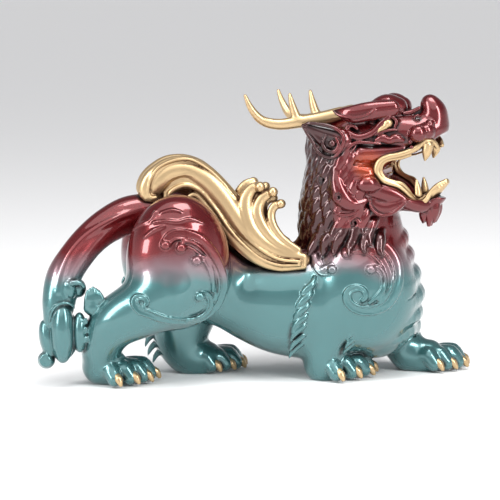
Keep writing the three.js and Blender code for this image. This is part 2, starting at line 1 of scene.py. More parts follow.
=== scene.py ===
"""A striding pixiu in lacquered copper, with gilded wings, antlers, claws, lips and teeth.

The figure is shaped as clay in millimetres: one distance field of lacquer and one of gold on a lattice,
built up from limbs, eggs and strands, then meshed. +X is forward, +Y the beast's left, +Z up.
"""

import bpy
import numpy as np
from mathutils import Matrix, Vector


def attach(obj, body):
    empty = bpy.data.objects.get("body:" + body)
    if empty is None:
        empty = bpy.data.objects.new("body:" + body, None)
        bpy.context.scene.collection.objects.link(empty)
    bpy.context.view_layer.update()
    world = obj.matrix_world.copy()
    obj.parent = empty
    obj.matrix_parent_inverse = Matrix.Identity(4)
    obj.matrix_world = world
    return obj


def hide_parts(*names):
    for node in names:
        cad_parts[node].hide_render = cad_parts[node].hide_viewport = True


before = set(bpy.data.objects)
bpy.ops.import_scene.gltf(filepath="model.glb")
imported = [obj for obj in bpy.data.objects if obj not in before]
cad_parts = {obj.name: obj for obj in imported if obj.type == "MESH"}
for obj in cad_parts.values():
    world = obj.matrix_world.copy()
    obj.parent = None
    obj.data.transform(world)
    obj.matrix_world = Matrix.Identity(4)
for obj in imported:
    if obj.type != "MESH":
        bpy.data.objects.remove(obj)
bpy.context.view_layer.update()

# Lattice steps: the body is measured at CELL and the head at half of it, after coarse masses at twice CELL.
CELL = 0.8
BOX = ((-138, -58, -5), (146, 60, 182))
HEAD_BOX = ((22, -52, 90), (146, 48, 182))
NECK_CUT = 94.0        # above this height the lacquer belongs to the head's mesh
OVERLAP = 1.4          # how far the head's mesh runs down over the body's
CENTRE = (-5.6, -1.8)  # moves the figure so that its box stands centred over the origin
FAR = 9.0
THINNEST = 0.15
MOST_TRIANGLES = 190_000


class Place:
    """A frame standing at x, y, z and turned about the vertical."""

    def __init__(self, x=0.0, y=0.0, z=0.0, turn=0.0):
        self.at = np.array([x, y, z])
        self.cos, self.sin = np.cos(np.radians(turn)), np.sin(np.radians(turn))

    def to_world(self, points):
        x, y, z = np.asarray(points, float)[..., :3].T
        return np.stack([self.cos * x - self.sin * y, self.sin * x + self.cos * y, z], -1) + self.at

    def direction(self, vector):
        return self.to_world(vector) - self.at


BODY = Place()
HEAD = Place(73, -8, 127, turn=-25)


def curve(rows, step):
    """A smooth curve through rows of (x, y, z, radius), sampled about every step millimetres."""
    p = np.asarray(rows, float)
    if len(p) < 3:
        count = max(2, int(np.ceil(np.linalg.norm(p[1, :3] - p[0, :3]) / step)) + 1)
        t = np.linspace(0, 1, count)[:, None]
        return p[0] * (1 - t) + p[1] * t
    ends = np.vstack([2 * p[0] - p[1], p, 2 * p[-1] - p[-2]])
    samples = []
    for a, b, c, d in zip(ends, ends[1:], ends[2:], ends[3:]):
        knots = np.cumsum([0] + [max(np.linalg.norm(v[:3]), 1e-6) ** 0.5 for v in (b - a, c - b, d - c)])
        count = max(1, int(np.ceil(np.linalg.norm(c[:3] - b[:3]) / step)))
        for t in knots[1] + (knots[2] - knots[1]) * np.arange(count) / count:
            one = [blend(t, knots[n], knots[n + 1], u, v) for n, (u, v) in enumerate(((a, b), (b, c), (c, d)))]
            two = [blend(t, knots[n], knots[n + 2], one[n], one[n + 1]) for n in (0, 1)]
            samples.append(blend(t, knots[1], knots[2], *two))
    samples.append(p[-1])
    samples = np.array(samples)
    samples[:, 3] = np.maximum(samples[:, 3], THINNEST)
    return samples


def blend(t, start, end, a, b):
    share = (t - start) / (end - start)
    return a * (1 - share) + b * share


def mirrored(rows):
    rows = np.array(rows, float)
    rows[..., 1] *= -1
    return rows


class Clay:
    """Two distance fields, lacquer and gold, on one lattice, in millimetres and negative inside."""

    def __init__(self, cell, low, count):
        self.cell = cell
        self.low = np.array(low, float)
        self.count = np.array(count)
        self.fields = {metal: np.full(self.count, FAR, np.float32) for metal in ("lacquer", "gold")}

    def window(self, low, high):
        """The slices of the lattice that cover a box."""
        first = np.maximum(np.floor((low - self.low) / self.cell), 0).astype(int)
        last = np.minimum(np.ceil((high - self.low) / self.cell) + 1, self.count).astype(int)
        return tuple(slice(a, max(a, b)) for a, b in zip(first, last))

    def coordinates(self, window, place):
        """The lattice points of a window, as x, y and z in the place's own frame."""
        x, y, z = [self.low[n] + self.cell * np.arange(s.start, s.stop) - place.at[n] for n, s in enumerate(window)]
        x, y, z = x[:, None, None], y[None, :, None], z[None, None, :]
        return place.cos * x + place.sin * y, place.cos * y - place.sin * x, z

    def settle(self, shape, window, metal, seam, cut):
        """Joins a shape to the clay, or cuts it out of both metals, with a soft seam."""
        for name in ("lacquer", "gold") if cut else (metal,):
            clay = self.fields[name][window]
            other = -shape if cut else shape
            soft = np.maximum(seam - np.abs(clay - other), 0) ** 2 / (4 * seam)
            self.fields[name][window] = np.maximum(clay, other) + soft if cut else np.minimum(clay, other) - soft

    def limb(self, rows, metal="lacquer", seam=1.0, flat=(1, 1, 1), place=BODY, both=False, cut=False,
             step=2.0, smooth=True):
        """A limb along rows of (x, y, z, radius). A flat of 0 lets a cut run right through along that axis."""
        if both:
            self.limb(mirrored(rows), metal, seam, flat, place, False, cut, step, smooth)
        p = curve(rows, step) if smooth else np.asarray(rows, float)
        shrink = np.array([0.0 if f == 0 else 1.0 / f for f in flat])
        world = place.to_world(p)
        reach = max(3.5, 2.5 * self.cell) + seam
        wide = p[:, 3:4] * max(1.0, *flat) + reach + (60.0 if 0 in flat else 0.0)
        window = self.window((world - wide).min(0), (world + wide).max(0))
        shape = np.full([s.stop - s.start for s in window], reach, np.float32)
        for n in range(len(p) - 1):
            low = np.minimum(world[n] - wide[n], world[n + 1] - wide[n + 1])
            high = np.maximum(world[n] + wide[n], world[n + 1] + wide[n + 1])
            part = self.window(low, high)
            if any(s.stop <= s.start for s in part):
                continue
            x, y, z = [(v - p[n, a]) * shrink[a] for a, v in enumerate(self.coordinates(part, place))]
            along = (p[n + 1, :3] - p[n, :3]) * shrink
            t = np.clip((x * along[0] + y * along[1] + z * along[2]) / max(along @ along, 1e-9), 0, 1)
            x, y, z = x - t * along[0], y - t * along[1], z - t * along[2]
            away = np.sqrt(x * x + y * y + z * z)
            distance = away - (p[n, 3] + t * (p[n + 1, 3] - p[n, 3]))
            if any(f not in (0, 1) for f in flat):
                slope = np.sqrt((x * shrink[0]) ** 2 + (y * shrink[1]) ** 2 + (z * shrink[2]) ** 2)
                distance *= away / np.maximum(slope, 1e-4)
            local = tuple(slice(s.start - w.start, s.stop - w.start) for s, w in zip(part, window))
            shape[local] = np.minimum(shape[local], distance)
        self.settle(shape, window, metal, seam, cut)

    def egg(self, centre, radii, metal="lacquer", seam=1.0, place=BODY, both=False, cut=False, tilt=0.0):
        """An egg with its three radii, tilted in the x-z plane by an angle in degrees."""
        if both:
            self.egg(mirrored(centre), radii, metal, seam, place, False, cut, tilt)
        reach = max(radii) + max(3.5, 2.5 * self.cell) + seam
        at = place.to_world(centre)
        window = self.window(at - reach, at + reach)
        x, y, z = [v - centre[a] for a, v in enumerate(self.coordinates(window, place))]
        cos, sin = np.cos(np.radians(tilt)), np.sin(np.radians(tilt))
        x, z = cos * x + sin * z, cos * z - sin * x
        near = np.sqrt((x / radii[0]) ** 2 + (y / radii[1]) ** 2 + (z / radii[2]) ** 2)
        slope = np.sqrt((x / radii[0] ** 2) ** 2 + (y / radii[1] ** 2) ** 2 + (z / radii[2] ** 2) ** 2)
        shape = np.minimum(near * (near - 1) / np.maximum(slope, 1e-6), reach).astype(np.float32)
        self.settle(shape, window, metal, seam, cut)

    def sample(self, points, field):
        """The field's value at points, between the lattice's own."""
        at = np.clip((points - self.low) / self.cell, 0, self.count - 1.001)
        first = at.astype(int)
        share = at - first
        total = np.zeros(points.shape[:-1])
        for corner in np.ndindex(2, 2, 2):
            weight = np.prod(np.where(corner, share, 1 - share), axis=-1)
            i, j, k = np.moveaxis(first + corner, -1, 0)
            total += weight * field[i, j, k]
        return total

    def skin(self, inner, outward, reach=70.0):
        """Where rays that come in along -outward towards the inner points first meet the lacquer."""
        inner, outward = np.broadcast_arrays(np.asarray(inner, float), np.asarray(outward, float))
        steps = np.arange(reach, -1.0, -0.7 * self.cell)
        values = self.sample(inner[:, None] + steps[:, None] * outward[:, None], self.fields["lacquer"])
        first = np.maximum(np.where((values < 0).any(1), np.argmax(values < 0, axis=1), np.argmin(values, axis=1)), 1)
        row = np.arange(len(inner))
        before, after = values[row, first - 1], values[row, first]
        share = np.where(before > 0, before / np.maximum(before - after, 1e-6), 0)
        return inner + (steps[first - 1] + (steps[first] - steps[first - 1]) * share)[:, None] * outward

    def laid(self, rows, place, lift, step=1.5):
        """Rows of (x, z, radius) as a curve on the right side's skin, its middle a lift of radii below it."""
        line = curve([(x, 0, z, r) for x, z, r in rows], step)
        found = self.skin(place.to_world(line), place.direction((0.0, -1.0, 0.0)))
        depth = ((found - place.at) @ place.direction((0.0, 1.0, 0.0)))
        padded = np.pad(depth, 2, mode="edge")
        line[:, 1] = sum(padded[n:n + len(depth)] for n in range(5)) / 5 + lift * line[:, 3]
        return line

    def strand(self, rows, place=BODY, lift=0.2, seam=0.5, both=True, cut=False, metal="lacquer", flat=(1, 1, 1)):
        line = self.laid(rows, place, lift)
        self.limb(line, metal, seam, flat, place, both, cut, smooth=False)

    def ribbon(self, rows, place=BODY, rim=0.8, height=0.55, both=True):
        """A broad flat strand with a raised rim along each edge."""
        line = curve([(x, 0, z, r) for x, z, r in rows], 1.5)
        ahead = np.gradient(line[:, [0, 2]], axis=0)
        ahead /= np.maximum(np.linalg.norm(ahead, axis=1, keepdims=True), 1e-6)
        across = np.stack([-ahead[:, 1], ahead[:, 0]], 1) * np.maximum(line[:, 3:4] - rim, 0.1)
        edges = [line[:, [0, 2]] + side * across for side in (-1, 1)]
        body = self.laid([(x, z, r) for x, _, z, r in line[::2]], place, 0.25)
        rims = [self.laid([(x, z, rim) for x, z in edge[::2]], place, -0.9) for edge in edges]
        self.limb(body, seam=0.8, flat=(1, height, 1), place=place, both=both, smooth=False)
        for edge in rims:
            self.limb(edge, seam=0.4, place=place, both=both, smooth=False)

    def softened(self, times):
        """Rounds off both fields by averaging each point with its neighbours."""
        for name, field in self.fields.items():
            for _ in range(times):
                for axis in range(3):
                    middle = np.swapaxes(field, 0, axis)
                    middle[1:-1] = (middle[:-2] + 2 * middle[1:-1] + middle[2:]) / 4
            self.fields[name] = field

    def halved(self, box=BOX):
        """The same clay inside a box, on a lattice half as coarse."""
        window = self.window(*np.array(box, float))
        fine = Clay(self.cell / 2, self.low + self.cell * (np.array([s.start for s in window]) + 0.25), (1, 1, 1))
        for name in self.fields:
            field = self.fields[name][window]
            for axis in range(3):
                near, far = np.swapaxes(field, 0, axis)[:-1], np.swapaxes(field, 0, axis)[1:]
                between = np.empty((2 * len(near), *near.shape[1:]), np.float32)
                between[0::2] = 0.75 * near + 0.25 * far
                between[1::2] = 0.25 * near + 0.75 * far
                field = np.swapaxes(between, 0, axis)
            fine.fields[name] = np.ascontiguousarray(field)
        fine.count = np.array(field.shape)
        return fine


# The broad masses of body and head.

def add_body(clay):
    clay.limb([(76, 0, 49, 28), (61, 0, 46, 33), (41, 0, 45, 34.5), (21, 0, 46, 32.5), (5, 0, 47, 26.5),
               (-9, 0, 51, 23), (-27, 0, 61, 25), (-45, 0, 70, 26)], seam=6, flat=(1, 0.93, 1))
    clay.egg((76, 0, 47), (27.5, 29, 37), seam=4)
    clay.limb([(67, -2, 69, 30), (62, -3, 90, 29.5), (60, -6, 110, 26), (59, -8, 126, 22)],
              seam=6, flat=(1, 0.85, 1))
    clay.egg((-45.5, -24, 73.5), (30.6, 21, 40), seam=5, both=True)
    clay.egg((66, -18, 54), (31, 20, 36), seam=4, both=True)


def add_legs(clay):
    clay.limb([(-52, -27, 56, 21), (-68, -27, 47, 17.5), (-83, -24, 38, 15), (-90, -18, 25, 12.6),
               (-90, -13, 13, 11.5)], seam=5)
    clay.limb([(-35, 24, 44, 21), (-40, 23, 24, 17), (-37, 21, 12, 13), (-31, 20, 5, 9.5)], seam=5)
    clay.limb([(55, -18, 53, 18), (47, -18, 41, 14), (44, -17, 28, 12.2), (42.5, -15, 18, 12),
               (43, -12.5, 8, 11.3)], seam=4)
    clay.limb([(87, 20, 31, 18.5), (95, 17, 19, 13.5), (103, 13, 9, 9.6), (110, 10, 5, 8)], seam=5)


def add_skull(clay):
    clay.egg((-10, 0, 11), (28, 23.5, 23), seam=4, place=HEAD)
    clay.limb([(0, 0, 17, 16), (16, 0, 20, 14.4), (30, 0, 21, 12.4), (37, 0, 24, 9)],
              seam=3, flat=(1, 1.15, 1), place=HEAD)
    clay.limb([(34.5, 0, 38.5, 6), (37.5, 0, 33.5, 7.6), (39, 0, 27, 7.2)], seam=2, flat=(1, 1.1, 1), place=HEAD)
    clay.limb([(-4, -17, -8, 8), (9, -17.5, -12.5, 6.5), (21, -14.5, -17, 5.6), (31, -8, -21.5, 4.8),
               (36, 0, -20.5, 4.6)], seam=2, place=HEAD, both=True)
    clay.limb([(0, 0, -14, 9), (16, 0, -20, 5.5), (32, 0, -22.5, 4.5)], seam=2.5, flat=(1, 1.6, 1), place=HEAD)


# The paws: heel and toe tips on the ground, from the beast's right hind paw onwards.

PAWS = (
    ((-100, -6), ((-82, -29), (-72, -24), (-64, -18), (-59, -8))),
    ((33, -7), ((50, -28), (61, -21), (70, -13), (74, -2))),
    ((-42, 19), ((-20, 11), (-11, 16), (-4, 22), (-2, 31))),
    ((89, 15), ((115, -2), (124, 2), (132, 8), (135, 18))),
)
PAW_HEIGHT, PAW_RADIUS, TOE, CLAW = 9.4, 10.2, 5.4, 2.5


def add_paw(clay, heel, tips):
    """A padded sole, four toes with two knuckles each, and a gilded claw on every toe."""
    heel, tips = np.array(heel, float), np.array(tips, float)
    middle = tips.mean(0)
    ahead = (middle - heel) / np.linalg.norm(middle - heel)
    back, front = heel + ahead * PAW_RADIUS, middle - ahead * PAW_RADIUS * 1.5
    clay.limb([(*back, PAW_HEIGHT, PAW_RADIUS), (*front, PAW_HEIGHT - 0.6, PAW_RADIUS)], seam=4)
    for tip in tips:
        root = front + (tip - middle) * 0.45
        toward = (tip - root) / np.linalg.norm(tip - root)

        def on(distance, z, radius):
            return (*(tip + toward * distance), z, radius)

        clay.limb([(*root, PAW_HEIGHT, TOE + 0.6), on(-7, PAW_HEIGHT + 0.3, TOE), on(-2.5, TOE, TOE - 0.8)], seam=1)
        clay.egg((*(tip - toward * 6.5), PAW_HEIGHT + 2.2), (3.6, 3.6, 3.4), seam=1.2)
        clay.limb([on(-1.8, TOE + 2, CLAW), on(1.6, TOE + 0.2, CLAW), on(3.6, 2.7, 1.3)], "gold", seam=0.4)


# The tail, its ridge and its tassel of hanging leaves.

def add_tail(clay):
    clay.limb([(-59, 0, 100, 12.5), (-73, -2, 99, 11.6), (-85, -5, 94, 10.6), (-96, -9, 86, 10),
               (-105, -13, 76, 10), (-112, -16, 65, 10.3), (-115, -19, 52, 10), (-116.5, -21, 40, 8)],
              seam=3, flat=(1, 0.85, 1))
    clay.limb([(-66, -9, 103.5, 0.8), (-80, -12.5, 99, 1.4), (-92.5, -15, 93, 1.6), (-102, -17.5, 86.5, 1.6),
               (-109.5, -20.5, 77.5, 1.6), (-114, -23.5, 66.5, 1.4), (-115.5, -25.5, 57.5, 1)], seam=2.5)


def add_tassel(clay):
    clay.egg((-113.5, -16, 31), (10, 8, 16), seam=1.5)
    clay.egg((-113.5, -24, 33), (7.2, 8, 18.2), seam=0.5)
    clay.egg((-122, -20, 28.5), (5, 6.5, 12), seam=0.4, tilt=11)
    clay.egg((-103.5, -24, 33), (4.6, 6.5, 12), seam=0.4)
    clay.egg((-109.5, -23, 58.5), (4.6, 4.8, 6.4), seam=0.4, tilt=8)
    clay.egg((-104, -20, 58.5), (4.8, 4.8, 5.6), seam=0.4)
    clay.limb([(-108, -27, 62.5, 1.8), (-103, -26, 62.5, 1.6), (-100.5, -25, 59.5, 1.2)], seam=0.4)
    add_spiral(clay, (-123, -24.5, 16.5), 5.0, 1.6, turns=1.2)
    clay.egg((-123, -21, 16.5), (5.2, 4.8, 5.2), seam=0.6)
    for n in range(5):
        x = -99.5 + 2.1 * n
        clay.limb([(x, -26.5, 47 + 0.4 * n, 1.7), (x + 0.4, -28, 53, 1.9), (x + 0.6 - 0.5 * n, -27.5, 60 - abs(n - 2), 0.8)],
                  seam=0.3)
    clay.limb([(-95.5, -25, 48, 5.6), (-95.5, -25, 54, 4.6)], seam=1)
    rim = [(-121, -27, 40.5, 0.7), (-119.5, -28, 46.5, 0.9), (-115.5, -29, 50.5, 0.9), (-110, -28.5, 51, 0.9),
           (-106.5, -26.5, 48, 0.7)]
    clay.limb(rim, seam=0.4)
    for z in (40, 34.5, 29):
        add_spiral(clay, (-99.8, -28.5, z), 2.4, 0.9, turns=1.1)


def add_spiral(clay, centre, outer, tube, turns=1.5, start=90.0, place=BODY, both=False, lean=0.0, tighten=0.7,
               metal="lacquer"):
    """A snail curl facing the right side, wound inwards from a start angle in degrees."""
    steps = int(10 * turns) + 1
    rows = []
    for n in range(steps):
        share = n / (steps - 1)
        angle = np.radians(start + 360 * turns * share)
        radius = (outer - tube) * (1 - tighten * share)
        x, z = radius * np.cos(angle), radius * np.sin(angle)
        rows.append((centre[0] + x, centre[1] + lean * x, centre[2] + z, tube * (1 - 0.35 * share)))
    clay.limb(rows, metal, seam=0.3, place=place, both=both, step=1.0)


# The scalloped plates down the chest, and the fur of legs and neck.

def add_chest_plates(clay):
    """Each plate is a flat limb laid round the front of the chest, over a groove that undercuts it."""
    for n, z in enumerate((84, 73, 61.5, 50, 39, 29)):
        angles = np.radians(np.linspace(-52, 52, 13))
        outward = np.stack([np.cos(angles), np.sin(angles), 0 * angles], 1)
        inner = np.stack([66 + 0 * angles, 0 * angles, z - 4 + 4 * np.cos(2.2 * angles)], 1)
        found = clay.skin(inner, outward)
        taper = np.cos(angles * 1.4)
        plate = np.column_stack([found - outward * 4.4, 6.6 * taper + 0.8])
        groove = np.column_stack([found - (0, 0, 6.6) - outward * 0.2, 0.9 * taper])
        clay.limb(plate, seam=1.2, flat=(0.9, 1, 1), smooth=False)
        clay.limb(groove, seam=0.5, cut=True, smooth=False)


def add_fur(clay, path, locks, size=1.0, both=False, side=-1):
    """A rope of overlapping S-shaped locks down a path of (x, y, z)."""
    line = curve([(*p, 1.0) for p in path], 1.0)
    for n in range(locks):
        at = line[int((n + 0.5) / locks * (len(line) - 1)), :3]
        swing = [(4.2, -0.5, 5.5, 1.2), (2.8, 2.2, 2.0, 2.1), (-0.5, 2.9, -0.8, 2.2), (-3.4, 2.4, -4, 1.7),
                 (-5.2, 1.0, -8, 0.7)]
        rows = [(at[0] + size * a, at[1] + side * size * b, at[2] + size * c, size * r) for a, b, c, r in swing]
        clay.limb(rows, seam=0.35, both=both)


def add_leg_fur(clay):
    add_fur(clay, [(32, -27, 61), (28.5, -29, 52), (27, -29, 44), (26, -28, 36), (26, -24.5, 28), (26, -18, 20)], 7)
    add_fur(clay, [(32, 27, 61), (29, 30, 52), (33, 30, 43), (43, 29, 34), (56, 26, 25)], 7, side=1)
    add_fur(clay, [(-57, 25, 31), (-57, 23, 24), (-55, 21, 17), (-50, 19, 11)], 4, size=0.9, side=1)
    add_fur(clay, [(58, -29, 33), (57, -27, 26), (56, -23, 20)], 3, size=0.7)


def mane_locks(clay):
    """Tiers of curling locks round the neck, from nape to chest, left open at the throat."""
    dice = np.random.default_rng(8)
    for tier, z in enumerate(np.arange(146, 86, -6.6)):
        lean = (z - 90) / 36
        axis = np.array([62 - 3 * lean, -3 - 5 * lean, z])
        throat = 62 + 26 * min(1.0, max(0.0, (z - 96) / 40))
        for n, angle in enumerate(np.arange(throat, 360 - throat, 15.5)):
            angle += 7.75 * (tier % 2) + dice.uniform(-2.5, 2.5)
            drop, grow = dice.uniform(0.85, 1.15), dice.uniform(0.9, 1.15)
            side = 1 if angle < 180 else -1
            turns = angle + side * np.array([0, 7, 12, 15, 14.5]) * drop
            heights = z + 4.5 - np.array([0, 2, 6, 10.5, 13.5]) * drop
            proud = np.array([-1.2, 0.2, 0.8, 1.0, 2.2])
            outward = np.stack([np.cos(np.radians(turns)), np.sin(np.radians(turns)), 0 * turns], 1)
            inner = np.stack([axis[0] + 0 * turns, axis[1] + 0 * turns, np.minimum(heights, 150)], 1)
            found = clay.skin(inner, outward) + outward * proud[:, None]
            radii = np.array([1.6, 2.9, 3.2, 2.5, 0.9]) * grow
            yield np.column_stack([found, radii])


def add_mane(clay):
    for lock in list(mane_locks(clay)):
        clay.limb(lock, seam=0.5, smooth=True)


# Scrolls raised on shoulders and haunches, as rows of (x, z, radius).

def add_scrolls(clay):
    clay.ribbon([(45, 69.5, 2.8), (40, 67.5, 3.2), (37, 72.5, 3.4), (39, 79, 3.4), (44, 84, 3.4), (52.5, 86.5, 3.4),
                 (63.5, 87, 3.6), (73.5, 83.5, 3.8), (80, 77.5, 3.8), (83.5, 70, 3.8), (83.5, 61, 3.8), (81, 54.5, 3.6),
                 (77, 49, 3.4), (70, 45.5, 3.2), (62, 45, 3), (56, 47.5, 2.8), (53, 51.5, 2.6), (53.5, 56, 2.4),
                 (57, 58, 2.1), (61, 58, 1.8), (63.5, 55, 1.6), (63.5, 52, 1.4), (60.5, 50.5, 1.2)])
    clay.ribbon([(53, 79, 2.6), (57, 81, 2.8), (63, 81, 2.8), (70, 78, 2.8), (75, 72, 2.7), (77.5, 64.5, 2.5),
                 (77, 57.5, 2.1), (72, 50.5, 1.3)])
    clay.ribbon([(67, 69, 2), (70.5, 69.5, 2.1), (73.5, 66.5, 2), (74.5, 62, 1.8), (74, 57.5, 1.6), (70.5, 53, 1.3),
                 (66, 49.5, 1)])
    clay.ribbon([(-54.5, 86, 2.8), (-52, 90, 3.1), (-47.5, 92, 3.2), (-41, 91, 3.3), (-34, 88, 3.4), (-27.5, 80.5, 3.5),
                 (-23, 71.5, 3.5), (-20, 62, 3.4), (-21, 55, 3.2), (-23.5, 49, 3), (-28, 44.5, 2.8), (-34, 41.5, 2.6),
                 (-44.5, 41, 2.4), (-55, 43, 2.4), (-64, 46.5, 2.5), (-70, 49, 2.5), (-72, 52, 2.4), (-72.5, 54.5, 2.2),
                 (-70, 56, 1.9), (-66.5, 55, 1.6), (-65.5, 52.5, 1.4), (-67, 51.5, 1.2)])
    clay.ribbon([(-46, 85.5, 2.3), (-41, 86.5, 2.4), (-34.5, 82.5, 2.4), (-29.5, 76, 2.4), (-25.5, 68.5, 2.3),
                 (-24, 59, 2), (-25, 52.5, 1.2)])
    clay.ribbon([(-36.5, 78, 1.8), (-32.5, 78, 1.9), (-29, 73, 1.8), (-27, 65.5, 1.4), (-26.5, 58, 1)])
    clay.ribbon([(-34.5, 55.5, 1.5), (-31.5, 57, 1.8), (-28.5, 54, 2), (-28, 48.5, 2), (-32, 43.5, 1.8), (-42, 41, 1.2)])
    for knob in ((45, 68.5), (-54.5, 86), (53.5, 78), (67, 69), (-45.5, 84.5), (-36.5, 77), (-34.5, 55.5)):
        clay.strand([(knob[0] - 0.5, knob[1], 2.6), (knob[0] + 0.5, knob[1], 2.6)], lift=-0.1)
    for wrinkle in ([(-72, 93, 0.7), (-67.5, 97, 0.9), (-62.5, 99.5, 0.9), (-59.5, 104.5, 0.7)],
                    [(-66, 90, 0.6), (-61, 94, 0.9), (-55, 96.5, 0.7)],
                    [(-61, 98.5, 0.6), (-53.5, 99.5, 0.9), (-47, 99, 0.9), (-39.5, 100.5, 0.9), (-32, 98, 0.6)],
                    [(-56, 104, 0.6), (-50, 105.5, 0.9), (-45, 104.5, 0.6)]):
        clay.strand(wrinkle, seam=1.2, lift=0.1)


# The wings: on each side a long plume of three bands, and a small plume of three curls.

def add_wings(clay):
    def wing(rows, flat=1.0, seam=0.5):
        clay.limb(rows, "gold", seam, (1, flat, 1), both=True)

    wing([(29, -21, 73, 4.2), (15, -18, 72.5, 5.5), (4, -14, 77.5, 7.5), (-7, -10, 90, 10.5), (-18, -7, 102, 10),
          (-27, -5, 114, 8.5), (-37, -4, 121, 7.5), (-48, -4, 119.5, 7.5), (-56, -4, 114, 6)], 0.5, seam=1)
    wing([(29, -24, 75, 2.6), (14.5, -22, 77, 2.8), (3, -18.5, 83, 4), (-8, -14.5, 95.5, 6), (-18, -11.5, 110, 7),
          (-28, -9.5, 120.5, 6.6), (-39, -8.5, 126, 5.2), (-49, -8, 124.5, 5.6), (-56, -7.5, 118, 5.6),
          (-59, -7, 113.5, 4)], 0.75, seam=0.8)
    wing([(-7, -11, 106.5, 2.2), (-14, -9.5, 114.5, 2.6), (-22.5, -8.5, 123, 3), (-30, -8, 128.5, 3.2),
          (-39.5, -7, 131.3, 3.4), (-49, -7, 130.2, 3.8), (-56, -7, 126, 4.2), (-61.5, -7, 120.5, 4.3),
          (-63.5, -7, 114.5, 4.2), (-62, -8, 111, 3.4), (-58.5, -9, 109.5, 2.2)])
    wing([(29, -24.5, 72.5, 2.2), (14.5, -22.5, 73, 2.4), (3, -19, 77.5, 2.8), (-8, -15, 87.5, 3.2),
          (-18, -12, 101.5, 4), (-27, -10, 113.5, 4.6), (-37, -8.5, 120, 4.4), (-45, -8, 119.5, 3.6),
          (-50, -8, 114.5, 2.6), (-51, -8, 111, 1.8)], 0.7)
    wing([(29, -24.5, 70, 2), (14.5, -22.5, 69, 2.2), (3, -19.5, 73, 2.8), (-8, -16, 81.5, 3.2), (-18, -13, 93.5, 2.9),
          (-26.5, -11.5, 103.5, 2.4), (-31.5, -10.5, 110, 1.8), (-35, -10.5, 112, 1.6), (-37.5, -10.5, 110.5, 1.5)], 0.9)
    wing([(-10, -15, 109.5, 0.7), (-18.5, -13.5, 120, 0.9), (-27.5, -12.5, 128, 1), (-37.5, -11.5, 133, 1),
          (-48, -11, 132, 1), (-56.5, -11, 127.5, 1), (-61, -11, 119.5, 1), (-61.5, -11, 112.5, 1),
          (-59.5, -11, 110, 1.2), (-57.5, -11, 110.5, 1.2)], seam=0.4)
    wing([(26.5, -27, 73, 1), (14, -25, 74.5, 1), (3, -21.5, 80.5, 1.1), (-8, -18, 91, 1.1), (-15.5, -16, 103, 1.1),
          (-22.5, -14, 113, 1.1), (-30, -12.5, 120.5, 1.1), (-39, -11.5, 124, 1), (-47.5, -11, 122, 0.9),
          (-53.5, -10.5, 117, 0.7)], seam=0.4)
    wing([(26.5, -26.5, 71, 0.9), (14, -25, 71, 1), (3, -21.5, 75, 1.1), (-8, -18, 84.5, 1.2), (-15.5, -16, 93.5, 1.3),
          (-22.5, -14, 104, 1.4), (-31.5, -12, 114.5, 1.5), (-39, -11, 117.5, 1.6), (-45, -10.5, 116, 1.6),
          (-49, -10.5, 113, 1.5), (-49.5, -10, 111, 1.3)], seam=0.4)
    wing([(26, -20, 77, 3), (13, -17, 82.5, 4.5), (4, -14, 92.5, 7), (1.5, -12, 103, 7.5), (4, -11.5, 110.5, 5)],
         0.5, seam=0.8)
    wing([(25, -23, 76, 3), (10.5, -21, 80.5, 3.6), (0, -18, 90, 4.4), (-4, -15.5, 100.5, 4.8), (-4, -14, 109, 4.4),
          (-0.5, -13.5, 115, 3.4), (3.5, -14, 116.5, 3)], 0.7)
    wing([(25, -23, 77.5, 2.4), (13.5, -21, 83.5, 3), (5.5, -18.5, 93, 3.6), (2.5, -16.5, 102, 3.8),
          (5, -15.5, 109, 3.2), (10, -15.5, 113, 2.8)], 0.75)
    wing([(26, -23, 79.5, 2), (17, -21, 86, 2.4), (11.5, -19, 94, 2.6), (10.5, -17.5, 101, 2.6),
          (13, -17, 105.5, 2.6), (16.5, -17, 106.5, 2.8)], 0.8)
    for x, y, z, r in ((4, -15.5, 116.5, 3.2), (11.5, -17, 113.5, 3.1), (16, -18, 106.5, 2.8)):
        clay.egg((x, y, z), (r, r, r), "gold", seam=0.4, both=True)
    clay.limb([(7, 0, 83, 9), (-9, 0, 98, 10), (-27, 0, 113.5, 8), (-43, 0, 118.5, 6)], "gold", 1, (1, 0.7, 1))


def add_antlers(clay):
    clay.limb([(-16.5, -12, 32, 4.4), (-29.5, -16, 29, 4.1), (-39.5, -20, 27.5, 3.7), (-51.5, -25, 26, 3.3),
               (-60.5, -29, 28.5, 2.8), (-66.5, -32, 36, 2), (-69.5, -33, 43, 1.1)], "gold", 0.5, place=HEAD, both=True)
    clay.limb([(-41, -20.5, 28.5, 3), (-43.5, -21, 35.5, 2.4), (-45.5, -21.5, 43.5, 1.1)], "gold", 1.2,
              place=HEAD, both=True)


# The face, in the head's own frame.

